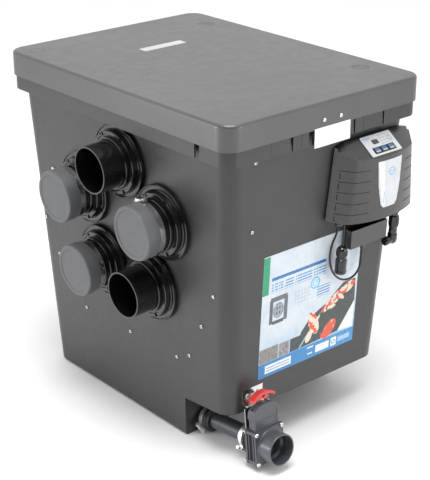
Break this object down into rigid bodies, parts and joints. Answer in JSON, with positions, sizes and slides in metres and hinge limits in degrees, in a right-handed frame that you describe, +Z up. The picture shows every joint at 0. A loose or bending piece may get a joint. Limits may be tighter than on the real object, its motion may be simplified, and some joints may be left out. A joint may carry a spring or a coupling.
{
  "type": "pond drum filter",
  "caption": "Gravity-fed pond filter tank with lift-off lid, ring of capped and open pipe inlets, inner rotating screen drum, wall controller and drain gate valve",
  "frame": {"origin": "on the ground, under the centre of the tank's footprint rectangle", "axes": "+Z up, -Y out of the wall with the ring of inlets, +X out of the wall with the controller"},
  "size_m": [0.8534, 0.6994, 0.8246],
  "materials": {
    "tank_plastic": "satin",
    "lid_plastic": "satin",
    "black_rubber": "matte",
    "silver": "satin",
    "steel": "brushed",
    "black_gloss": "gloss",
    "grey_rubber": "matte",
    "pvc_grey": "satin",
    "red_plastic": "gloss",
    "label_film": "satin",
    "controller_plastic": "satin",
    "board_green": "matte",
    "display": "gloss",
    "cable": "satin",
    "drum_plastic": "satin",
    "screen_mesh": "woven",
    "gear_plastic": "satin",
    "white_plastic": "satin",
    "float_foam": "matte",
    "key_blue": "satin"
  },
  "bodies": {
    "tank": {"tank_shell": "tank_plastic", "lid_seal": "black_rubber", "port_gaskets": "black_rubber", "port_flanges": "black_gloss", "port_nuts": "black_gloss", "inlet_spigots": "black_gloss", "outlet_spigots": "black_gloss", "end_caps": "grey_rubber", "cap_clamps": "steel", "drain_stub": "pvc_grey", "drain_sleeves": "black_rubber", "drain_pipe": "pvc_grey", "drain_clamps": "steel", "valve_body_back": "pvc_grey", "valve_body_front": "pvc_grey", "valve_bonnet": "pvc_grey", "valve_bolts": "steel", "valve_bracket": "steel", "wall_screws": "steel", "label_panel": "label_film", "controller_bracket": "controller_plastic", "controller_base": "controller_plastic", "controller_cover": "controller_plastic", "controller_board": "board_green", "controller_screws": "steel", "controller_connectors": "black_gloss", "control_panel": "silver", "display_window": "display", "front_badge": "silver", "lead_plug": "black_gloss", "lead_cord": "cable", "loop_cord": "cable", "drive_motor": "black_gloss", "partition_plate": "tank_plastic", "front_seal": "black_rubber", "rear_carrier": "tank_plastic", "rear_bearing": "white_plastic", "dirt_trough": "pvc_grey", "waste_pipe": "pvc_grey", "spray_bar": "steel", "spray_riser": "pvc_grey", "spray_pump": "black_gloss", "level_sensor": "steel"},
    "lid": {"lid": "lid_plastic", "lid_badge": "silver", "lid_caps": "lid_plastic", "lid_contact_plate": "steel", "contact_plate_screws": "steel"},
    "drum": {"drum_frame": "drum_plastic", "drum_screens": "screen_mesh", "drum_gear": "gear_plastic"},
    "pinion": {"drive_pinion": "gear_plastic"},
    "gate": {"gate_blade": "steel", "gate_stem": "steel", "gate_handle": "red_plastic"},
    "float": {"level_float": "float_foam"},
    "key_1": {"button_1": "key_blue"},
    "key_2": {"button_2": "key_blue"},
    "key_3": {"button_3": "key_blue"}
  },
  "joints": [
    {"name": "lid_lift", "type": "slide", "parent": "tank", "child": "lid", "axis": [0, 0, 1], "range_m": [0, 0.35]},
    {"name": "drum_spin", "type": "hinge", "parent": "tank", "child": "drum", "pos_m": [0.009, 0, 0.493], "axis": [0, 1, 0], "continuous": true},
    {"name": "pinion_spin", "type": "hinge", "parent": "tank", "child": "pinion", "pos_m": [0.19992, 0.165, 0.68392], "axis": [0, 1, 0], "continuous": true},
    {"name": "gate_slide", "type": "slide", "parent": "tank", "child": "gate", "axis": [-0.1045, 0, 0.9945], "range_m": [0, 0.06]},
    {"name": "float_rise", "type": "slide", "parent": "tank", "child": "float", "axis": [0, 0, 1], "range_m": [0, 0.11]},
    {"name": "key_1_press", "type": "slide", "parent": "tank", "child": "key_1", "axis": [-0.5891, 0, -0.8081], "range_m": [0, 0.001], "stiffness_N_per_m": 800, "springref_m": -0.0005},
    {"name": "key_2_press", "type": "slide", "parent": "tank", "child": "key_2", "axis": [-0.5891, 0, -0.8081], "range_m": [0, 0.001], "stiffness_N_per_m": 800, "springref_m": -0.0005},
    {"name": "key_3_press", "type": "slide", "parent": "tank", "child": "key_3", "axis": [-0.5891, 0, -0.8081], "range_m": [0, 0.001], "stiffness_N_per_m": 800, "springref_m": -0.0005}
  ],
  "couplings": [
    {"joint": "pinion_spin", "follows": "drum_spin", "ratio": -6.9412}
  ]
}
